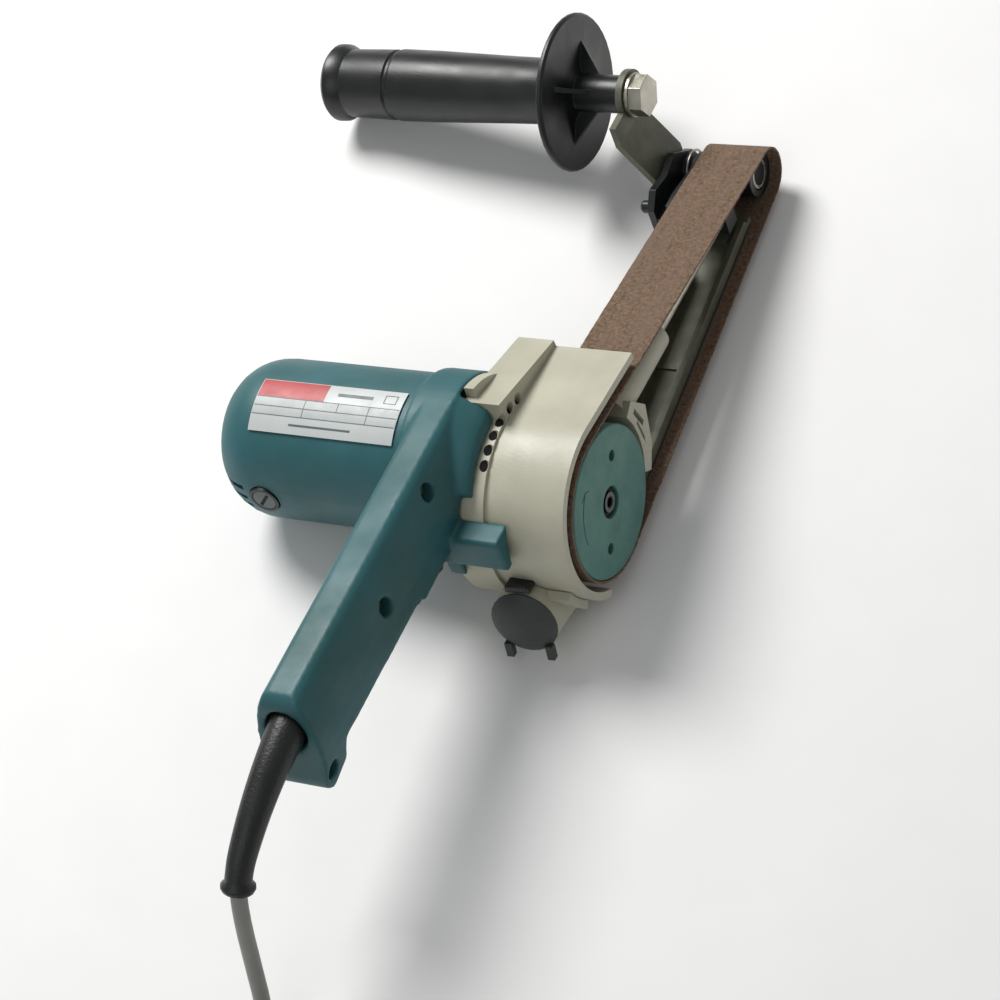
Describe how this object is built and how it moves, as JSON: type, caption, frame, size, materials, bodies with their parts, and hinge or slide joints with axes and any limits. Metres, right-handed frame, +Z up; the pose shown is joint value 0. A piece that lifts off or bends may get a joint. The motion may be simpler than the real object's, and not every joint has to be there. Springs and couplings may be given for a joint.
{
  "type": "belt sander",
  "caption": "Handheld narrow belt sander: motor housing, pistol grip bar, belt over a drive pulley and a sprung tip roller, side grip and dust outlet.",
  "frame": {"origin": "centre of the tool's footprint on the surface it lies on, cord left out", "axes": "+Z up from the surface, +Y towards the tip roller and the side grip, +X towards the drive pulley's open face"},
  "size_m": [0.2794, 0.5765, 0.107],
  "materials": {
    "teal_plastic": "satin moulded plastic",
    "cream_paint": "cream enamel on die-cast aluminium",
    "pulley_teal": "matt, tyre bonded to a light core",
    "abrasive_brown": "cloth belt with abrasive grain",
    "olive_casting": "dull grey-green casting",
    "black_plastic": "black moulded plastic",
    "black_rubber": "matt black rubber",
    "grey_rubber": "matt dark grey rubber",
    "bright_steel": "plated steel",
    "core_steel": "stacked core plates",
    "copper": "copper segments",
    "carbon": "matt graphite",
    "brass": "drawn brass",
    "label_foil": "printed foil",
    "grey_cord": "matt grey cord sheath"
  },
  "bodies": {
    "body": {"abrasive_belt": "abrasive_brown", "gear_housing": "cream_paint", "dust_nozzle": "cream_paint", "handle_left": "teal_plastic", "handle_right": "teal_plastic", "motor_housing": "teal_plastic", "platen_arm": "olive_casting", "grip_bracket": "olive_casting", "motor_plate": "olive_casting", "tip_casting": "black_plastic", "front_grip": "black_plastic", "switch_body": "black_plastic", "speed_controller": "black_plastic", "brush_cap_rear": "black_plastic", "brush_cap_front": "black_plastic", "cord_clamp": "black_plastic", "plug": "black_plastic", "cap_strap": "black_rubber", "cord_guard": "black_rubber", "spindle_outer_bearing": "bright_steel", "spindle_inner_bearing": "bright_steel", "tension_spring": "bright_steel", "bracket_screw_1": "bright_steel", "bracket_screw_2": "bright_steel", "grip_bolt": "bright_steel", "handle_screw_1": "bright_steel", "handle_screw_2": "bright_steel", "handle_screw_3": "bright_steel", "motor_rear_bearing": "bright_steel", "motor_front_bearing": "bright_steel", "field_core": "core_steel", "carbon_brush_rear": "carbon", "carbon_brush_front": "carbon", "platen_pad": "carbon", "brush_holder_rear": "brass", "brush_holder_front": "brass", "name_plate": "label_foil", "power_cord": "grey_cord", "cord_tail": "grey_cord", "cord_coil": "grey_cord"},
    "motor": {"motor_shaft": "bright_steel", "armature_core": "core_steel", "commutator": "copper", "cooling_fan": "black_plastic"},
    "spindle": {"spindle": "bright_steel", "drive_gear": "bright_steel", "drive_pulley": "pulley_teal", "pulley_bolt": "black_plastic"},
    "tip": {"tension_rod": "bright_steel", "roller_yoke": "black_plastic", "roller_axle": "bright_steel", "roller_clip": "bright_steel", "roller_washer": "bright_steel"},
    "roller": {"front_roller": "black_plastic"},
    "tracking": {"tracking_screw": "black_plastic"},
    "trigger": {"trigger": "black_plastic"},
    "lock": {"lock_button": "black_plastic"},
    "dial": {"speed_dial": "black_plastic"},
    "cap": {"nozzle_cap": "grey_rubber"}
  },
  "joints": [
    {"name": "motor_spin", "type": "hinge", "parent": "body", "child": "motor", "pos_m": [0.08464, -0.03542, 0.05885], "axis": [0.9824, 0, 0.1869], "continuous": true},
    {"name": "spindle_spin", "type": "hinge", "parent": "body", "child": "spindle", "pos_m": [0.08825, -0.03656, 0.03987], "axis": [0.9824, 0, 0.1869], "continuous": true},
    {"name": "belt_tension", "type": "slide", "parent": "body", "child": "tip", "axis": [0.037, 0.9802, -0.1944], "range_m": [-0.009, 0], "stiffness_N_per_m": 3000, "springref_m": 0.01, "deforming": ["tension_spring"]},
    {"name": "roller_spin", "type": "hinge", "parent": "tip", "child": "roller", "pos_m": [0.09303, 0.15681, 0.01476], "axis": [0.9824, 0, 0.1869], "continuous": true},
    {"name": "tracking_turn", "type": "hinge", "parent": "body", "child": "tracking", "pos_m": [0.09105, 0.12638, 0.02515], "axis": [0.9824, 0, 0.1869], "range_deg": [-180, 180]},
    {"name": "trigger_press", "type": "slide", "parent": "body", "child": "trigger", "axis": [-0.1853, 0.131, 0.9739], "range_m": [0, 0.005], "stiffness_N_per_m": 400, "springref_m": -0.003},
    {"name": "lock_press", "type": "slide", "parent": "body", "child": "lock", "axis": [0.9824, 0, 0.1869], "range_m": [0, 0.0025], "stiffness_N_per_m": 200, "springref_m": -0.002},
    {"name": "dial_turn", "type": "hinge", "parent": "body", "child": "dial", "pos_m": [0.0369, -0.14247, 0.069], "axis": [0.9824, 0, 0.1869], "range_deg": [0, 270]},
    {"name": "cap_open", "type": "hinge", "parent": "body", "child": "cap", "pos_m": [0.07793, -0.08306, 0.03742], "axis": [-0.9843, -0.0752, -0.1594], "range_deg": [0, 95]}
  ],
  "couplings": [
    {"joint": "spindle_spin", "follows": "motor_spin", "ratio": -0.26471},
    {"joint": "roller_spin", "follows": "motor_spin", "ratio": -0.75533}
  ]
}
